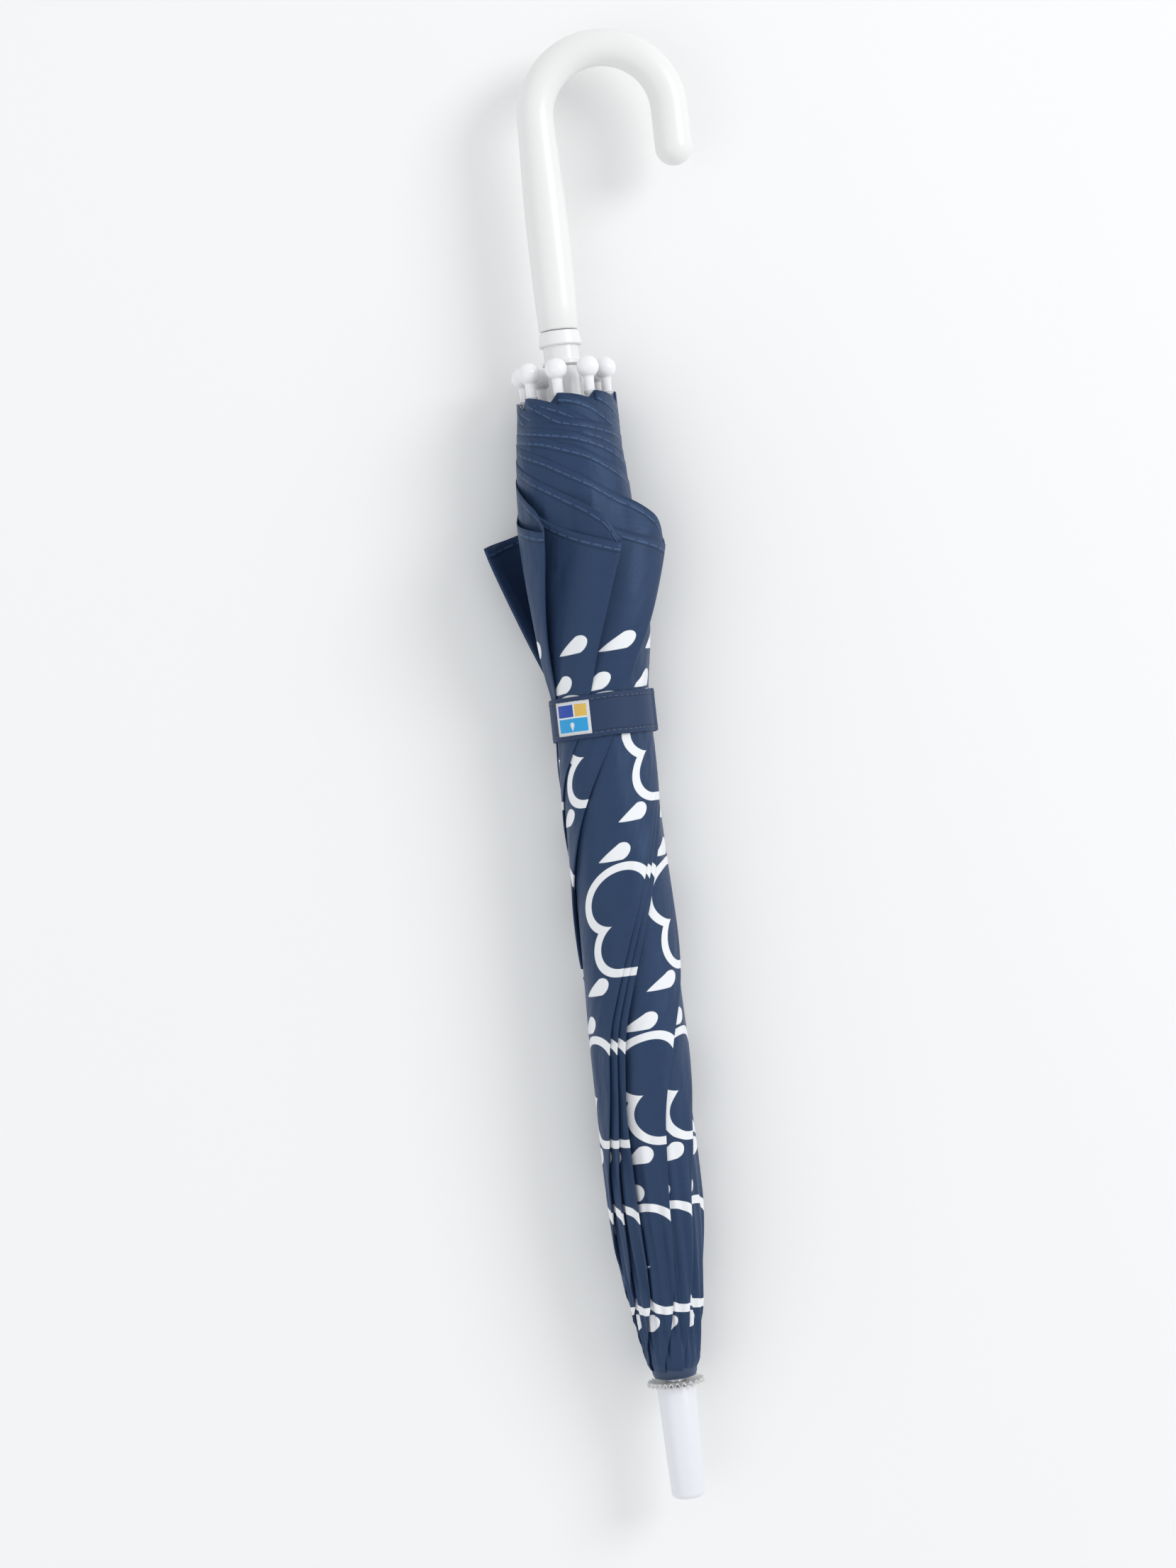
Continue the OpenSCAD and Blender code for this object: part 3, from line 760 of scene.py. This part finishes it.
def open_place(k, across, along):
    """Rest places of gore k's points, so that each lands on the spread gore when open."""
    j = k % 8 + 1
    middle = math.radians(FIRST_RIB + RIB_STEP * (k - 0.5))
    tangent = Vector((math.cos(middle), 0, -math.sin(middle)))
    rib = hinge_matrix(rib_name(k))
    steps = 256
    backs = [(rib @ hinge_matrix(f"panel_{k}_fold", step / steps)).inverted()
             for step in range(steps + 1)]
    back = np.array([[list(row) for row in matrix] for matrix in backs])
    line_one, line_two = ((rib_line(i, 0.0), rib_line(i, 1.0)) for i in (k, j))
    side = across * 2 - 1
    hem = HEM_REACH * (1 - SCALLOP * (1 - side ** 2))
    reach = TOP_REACH + along * (hem - TOP_REACH)
    one = np.outer(1 - reach, line_one[0]) + np.outer(reach, line_one[1])
    two = np.outer(1 - reach, line_two[0]) + np.outer(reach, line_two[1])
    share = ((side + 1) / 2)[:, None]
    target = one * (1 - share) + two * share
    chord = np.linalg.norm(two - one, axis=1)
    normal = np.cross(line_two[1] - line_two[0], line_one[1] - line_one[0])
    normal = normal / np.linalg.norm(normal)
    if normal[1] < 0:
        normal = -normal
    target = target + np.outer(chord * SAG * (1 - side ** 2) ** 1.5, normal)
    target = np.concatenate([target, np.ones((len(target), 1))], axis=1)
    low = np.zeros(len(target))
    high = np.ones(len(target))
    for turn in range(26):
        guess = (low + high) / 2
        rest = rest_at(back, guess, target)
        t = np.clip((rest @ np.array(tangent) + BEND_SPAN) / (2 * BEND_SPAN), 0, 1)
        beyond = t * t * (3 - 2 * t) > guess
        low = np.where(beyond, guess, low)
        high = np.where(beyond, high, guess)
    return rest_at(back, (low + high) / 2, target)


def rest_at(back, share, target):
    """Carries open points back to rest, each by its own share of the fold."""
    spot = share * (len(back) - 1)
    first = np.minimum(spot.astype(int), len(back) - 2)
    part = (spot - first)[:, None]
    one = np.einsum("nij,nj->ni", back[first], target)[:, :3]
    two = np.einsum("nij,nj->ni", back[first + 1], target)[:, :3]
    return one * (1 - part) + two * part


def open_flat(across, along):
    side = across * 2 - 1
    hem = HEM_REACH * (1 - SCALLOP * (1 - side ** 2))
    reach = TOP_REACH + along * (hem - TOP_REACH)
    return np.stack([side * reach * GORE_SLOPE, reach * 0.96], axis=1)


def open_from_hem(across, along):
    return (1 - along) * HEM_REACH


for k in RIBS:
    gore = cloth_sheet(f"canopy_gore_{k}", OPEN_ROWS, OPEN_COLUMNS,
                       lambda across, along: open_place(k, across, along),
                       open_flat, navy_cloth, open_from_hem)
    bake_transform(gore)
    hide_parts(f"canopy_panel_{k}")


# ---- Canopy: crown cap ----
# A small collar of the same cloth, sewn in over the crown, which covers the gathered
# tops of the gores and is held by the washer.

bm = bmesh.new()
turn_profile(bm, [(0.0044, 0.0543), (0.0078, 0.0545), (0.0093, 0.0551), (0.0099, 0.0568),
                  (0.0101, 0.0590), (0.0102, 0.0612)], 72)
bmesh.ops.solidify(bm, geom=bm.faces, thickness=0.0002)
plain_navy, shader, place = new_finish("plain_navy", 0.55, Sheen_Weight=0.35)
shader.inputs["Sheen Tint"].default_value = (0.45, 0.58, 0.85, 1)
threads = place.noise(520.0, 3.0, (1, 0.3, 1))
plug(shader, "Base Color", threads.mix((0.0190, 0.0360, 0.083, 1), (0.0285, 0.0520, 0.114, 1)))
plug(shader, "Roughness", 0.50 + threads * 0.12)
plug(shader, "Normal", place.noise(2200.0, 2.0).bump(0.00006))
cap = add_piece("canopy_cap", bm, plain_navy, "root")


# ---- Rib tips ----
# White ball ends moulded with a neck. The corners of the canopy are sewn to the necks
# with a few turns of thread.

tip_white = moulded("tip_plastic", (0.90, 0.90, 0.91, 1), (0.87, 0.87, 0.885, 1), 0.26,
                    Coat_Weight=0.3, Coat_Roughness=0.15)
RIB_LENGTH = 0.444
BALL_R = 0.005
NECK_R = 0.0023
THREAD_LIFT = 0.0002
THREAD_HEIGHT = -0.0118
THREAD_PITCH = 0.00052
thread_finish, shader, place = new_finish("sewing_thread", 0.7, Sheen_Weight=0.3)
twist = place.noise(2500.0, 2.0)
plug(shader, "Base Color", twist.mix((0.62, 0.64, 0.68, 1), (0.80, 0.82, 0.85, 1)))
plug(shader, "Normal", twist.bump(0.00005))


def on_rib(k):
    """Place of rib k's foot at rest, with its length along Y."""
    angle = math.radians(FIRST_RIB + RIB_STEP * (k - 1))
    foot = Matrix.Rotation(angle, 4, "Y") @ Matrix.Translation((0, CROWN_HEIGHT, RIB_PIVOT_R))
    return foot @ Matrix.Rotation(RIB_LEAN, 4, "X")


for k in RIBS:
    bm = bmesh.new()
    outline = [(NECK_R - 0.0002, -0.0199), (NECK_R, -0.0197), (NECK_R, -0.0060),
               (NECK_R + 0.00015, -0.0050)]
    outline += [(BALL_R * math.cos(math.radians(turn)), BALL_R * math.sin(math.radians(turn)))
                for turn in range(-60, 90, 8)]
    turn_profile(bm, outline, 40)
    bmesh.ops.holes_fill(bm, edges=[edge for edge in bm.edges if edge.is_boundary], sides=0)
    bmesh.ops.translate(bm, verts=bm.verts, vec=(0, RIB_LENGTH, 0))
    bmesh.ops.transform(bm, matrix=on_rib(k), verts=bm.verts)
    ball = add_piece(f"ball_tip_{k}", bm, tip_white, f"rib_{k}")
    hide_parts(f"tip_{k}")
    bm = bmesh.new()
    for wind in range(3):
        place = (NECK_R + THREAD_LIFT, THREAD_HEIGHT + wind * THREAD_PITCH, 0)
        bmesh.ops.create_circle(bm, segments=12, radius=0.00025,
                                matrix=Matrix.Translation(place))
    rings = list(bm.verts) + list(bm.edges)
    bmesh.ops.spin(bm, geom=rings, cent=(0, 0, 0), axis=(0, 1, 0), angle=2 * math.pi,
                   steps=28, use_merge=True)
    bmesh.ops.translate(bm, verts=bm.verts, vec=(0, RIB_LENGTH, 0))
    bmesh.ops.transform(bm, matrix=on_rib(k), verts=bm.verts)
    add_piece(f"tip_thread_{k}", bm, thread_finish, f"rib_{k}")


# ---- Strap ----
# A double band of the canopy cloth, stitched along both edges and sewn to the rib at
# the left. It wraps the roll and closes on itself with hook-and-loop tape.

STRAP_HEIGHT = 0.353
STRAP_WIDTH = 0.019
STRAP_IN = 0.0223
STRAP_LAP = (95, 150)
STRAP_T = 0.0008
LAP_STEP = 0.0016
STRAP_LOWEST = -23.55


def bent_place(from_turn, to_turn, radius, width, rise=None):
    """Lays a sheet round the roll: across goes along its length, and along its width."""
    def place(across, along):
        turn = from_turn + (to_turn - from_turn) * across
        out = np.full_like(turn, radius * 1000)
        if rise is not None:
            out = out + rise(turn) * 1000
        angle = np.radians(turn)
        wave = 0.10 * np.sin(angle * 5 + 0.6) + 0.07 * np.sin(angle * 9)
        height = STRAP_HEIGHT * 1000 + (along - 0.5) * width * 1000
        tilt = 0.35 * np.sin(angle + 0.5)
        x = (out + wave * 0.5) * np.sin(angle)
        z = (out + wave * 0.5) * np.cos(angle)
        z = np.maximum(z, STRAP_LOWEST + (out - STRAP_IN * 1000) * -0.1)
        return np.stack([x, height + tilt + wave, z], axis=1) / 1000
    return place


def bent_flat(length, width):
    def flat(across, along):
        return np.stack([across * length, along * width], axis=1)
    return flat


strap_cloth, shader, place = new_finish("strap_cloth", 0.55, Sheen_Weight=0.15, Sheen_Roughness=0.4,
                                 Specular_IOR_Level=0.22)
shader.inputs["Sheen Tint"].default_value = (0.45, 0.58, 0.85, 1)
uv = place.node("ShaderNodeUVMap", {"uv_map": "UVMap"}, {})
band_x = uv.node("ShaderNodeSeparateXYZ", {}, {0: uv}, out=0)
band_y = uv.node("ShaderNodeSeparateXYZ", {}, {0: uv}, out=1)
threads = uv.noise(650.0, 3.0, (0.3, 1, 1))
tone = (threads * 0.6 + place.noise(40.0, 3.0) * 0.4)
cloth = tone.mix((0.0205, 0.0385, 0.090, 1), (0.0300, 0.0540, 0.120, 1))
from_edge = STRAP_WIDTH / 2 - (band_y - STRAP_WIDTH / 2).math("ABSOLUTE")
piping = 1 - (from_edge - 0.0026).math("ABSOLUTE").above(0.00030, 0.0002)
plug(shader, "Base Color", (piping * 0.5).mix(cloth, (0.014, 0.022, 0.043, 1)))
plug(shader, "Roughness", 0.52 + threads * 0.12)
weave = (band_x * 2800.0).math("SINE") * (band_y * 2800.0).math("SINE")
plug(shader, "Normal", (weave * 0.10 + threads * 0.4 - piping * 0.7).bump(0.00012, 0.9))

strap_from = STRAP_LAP[0] - 4
strap_to = STRAP_LAP[1] + 360
strap_length = math.radians(strap_to - strap_from) * (STRAP_IN + STRAP_T)


def lap_rise(turn):
    return LAP_STEP * smooth_step((turn - (STRAP_LAP[0] + 360 - 14)) / 14)


def press_strap(piece):
    """Carries a strap piece on rib 8, with a mesh of its own."""
    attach(piece, "rib_8")
    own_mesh(piece)


strap_place = bent_place(strap_from, strap_to, STRAP_IN + STRAP_T / 2, STRAP_WIDTH, lap_rise)
strap = cloth_sheet("closing_strap", 14, 200, strap_place,
                    bent_flat(strap_length, STRAP_WIDTH), strap_cloth, thick=STRAP_T * 0.9)
hem_round = strap.modifiers.new("edge", "BEVEL")
hem_round.width = 0.0003
hem_round.segments = 2
hem_round.limit_method = "ANGLE"
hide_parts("strap")

stitch_finish, shader, place = new_finish("strap_thread", 0.6, Sheen_Weight=0.3)
twist = place.noise(2600.0, 2.0)
plug(shader, "Base Color", twist.mix((0.050, 0.080, 0.145, 1), (0.085, 0.130, 0.220, 1)))
plug(shader, "Normal", twist.bump(0.00005))
STITCH_L = 0.0019
STITCH_PITCH = 0.0027
bm = bmesh.new()
edge_place = bent_place(strap_from, strap_to, STRAP_IN + STRAP_T + 0.00004, STRAP_WIDTH, lap_rise)
count = int(strap_length / STITCH_PITCH)
for row in (0.105, 0.895):
    spots = edge_place((np.arange(count) + 0.5) / count, np.full(count, row))
    ahead = edge_place((np.arange(count) + 0.5) / count + 0.0005, np.full(count, row))
    for spot, nextspot in zip(spots, ahead):
        way = Vector(nextspot - spot).normalized()
        made = bmesh.ops.create_icosphere(bm, subdivisions=1, radius=1.0)["verts"]
        bmesh.ops.scale(bm, verts=made, vec=(STITCH_L / 2, 0.00021, 0.00017))
        turn = Matrix((way, Vector((0, 1, 0)), way.cross(Vector((0, 1, 0))))).transposed()
        bmesh.ops.rotate(bm, verts=made, matrix=turn, cent=(0, 0, 0))
        bmesh.ops.translate(bm, verts=made, vec=Vector(spot))
strap_stitches = add_piece("strap_stitches", bm, stitch_finish, "rib_8")

tape, shader, place = new_finish("hook_and_loop", 0.85, Sheen_Weight=0.5)
fuzz = place.noise(1500.0, 4.0)
plug(shader, "Base Color", fuzz.mix((0.015, 0.023, 0.045, 1), (0.035, 0.052, 0.095, 1)))
plug(shader, "Normal", fuzz.bump(0.0004))
PATCH_WIDTH = STRAP_WIDTH - 0.006
PATCH_T = 0.0004
for name, node, slot, step in (("loop_patch", "strap_loop_patch", "loop_tape", 0.5),
                               ("hook_patch", "strap_hook_patch", "hook_tape", 1.5)):
    radius = STRAP_IN + STRAP_T + PATCH_T * step
    length = math.radians(STRAP_LAP[1] - STRAP_LAP[0] - 6) * radius
    patch = cloth_sheet(name, 8, 40, bent_place(STRAP_LAP[0] + 4, STRAP_LAP[1] - 2, radius,
                                                PATCH_WIDTH),
                        bent_flat(length, PATCH_WIDTH), tape, thick=PATCH_T * 0.8)
    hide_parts(node)
    press_strap(patch)
press_strap(strap)
press_strap(strap_stitches)


# ---- Woven label ----
# A small woven label with a white border of overcast stitches round three plain blocks of
# colour and a woven raindrop, sewn flat on the strap.

LABEL_L = 0.018
LABEL_W = 0.015
LABEL_TURN = -35
LABEL_T = 0.00035
woven, shader, place = new_finish("label_weave", 0.6, Sheen_Weight=0.2)
uv = place.node("ShaderNodeUVMap", {"uv_map": "UVMap"}, {})
label_x = uv.node("ShaderNodeSeparateXYZ", {}, {0: uv}, out=0)
label_y = uv.node("ShaderNodeSeparateXYZ", {}, {0: uv}, out=1)
inner_x = LABEL_L / 2 - 0.0014 - (label_x - LABEL_L / 2).math("ABSOLUTE")
inner_y = LABEL_W / 2 - 0.0014 - (label_y - LABEL_W / 2).math("ABSOLUTE")
field = inner_x.math("MINIMUM", inner_y).above(0.0, 0.00008)
top = label_y.above(LABEL_W * 0.52, 0.00006)
right = label_x.above(LABEL_L * 0.58, 0.00006)
upper = right.mix((0.010, 0.065, 0.42, 1), (0.78, 0.52, 0.10, 1))
blocks = top.mix((0.012, 0.36, 0.74, 1), upper)
gap_y = 1 - (label_y - LABEL_W * 0.52).math("ABSOLUTE").above(0.00035, 0.00008)
gap_x = (1 - (label_x - LABEL_L * 0.58).math("ABSOLUTE").above(0.00035, 0.00008)) * top
mark = drop_shape(label_x, label_y, (LABEL_L * 0.5, LABEL_W * 0.30), 0.0013, 0.0030, 0.0)
lines = gap_y.math("MAXIMUM", gap_x).math("MAXIMUM", mark)
face_colour = lines.mix(blocks, (0.82, 0.84, 0.86, 1))
plug(shader, "Base Color", field.mix((0.80, 0.82, 0.84, 1), face_colour))
ribbing = (label_y * 15000.0).math("SINE") * 0.5 + (label_x * 9000.0).math("SINE") * 0.3
overcast = ((label_x + label_y) * 6500.0).math("SINE") * (1 - field) * 1.4
plug(shader, "Normal", (ribbing + overcast).bump(0.00007))
half_turn = math.degrees(LABEL_L / 2 / (STRAP_IN + STRAP_T))
label = cloth_sheet("woven_label", 12, 24,
                    bent_place(LABEL_TURN - half_turn, LABEL_TURN + half_turn,
                               STRAP_IN + STRAP_T + LABEL_T / 2 + 0.00008, LABEL_W),
                    bent_flat(LABEL_L, LABEL_W), woven, thick=LABEL_T)
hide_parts("strap_label")
press_strap(label)
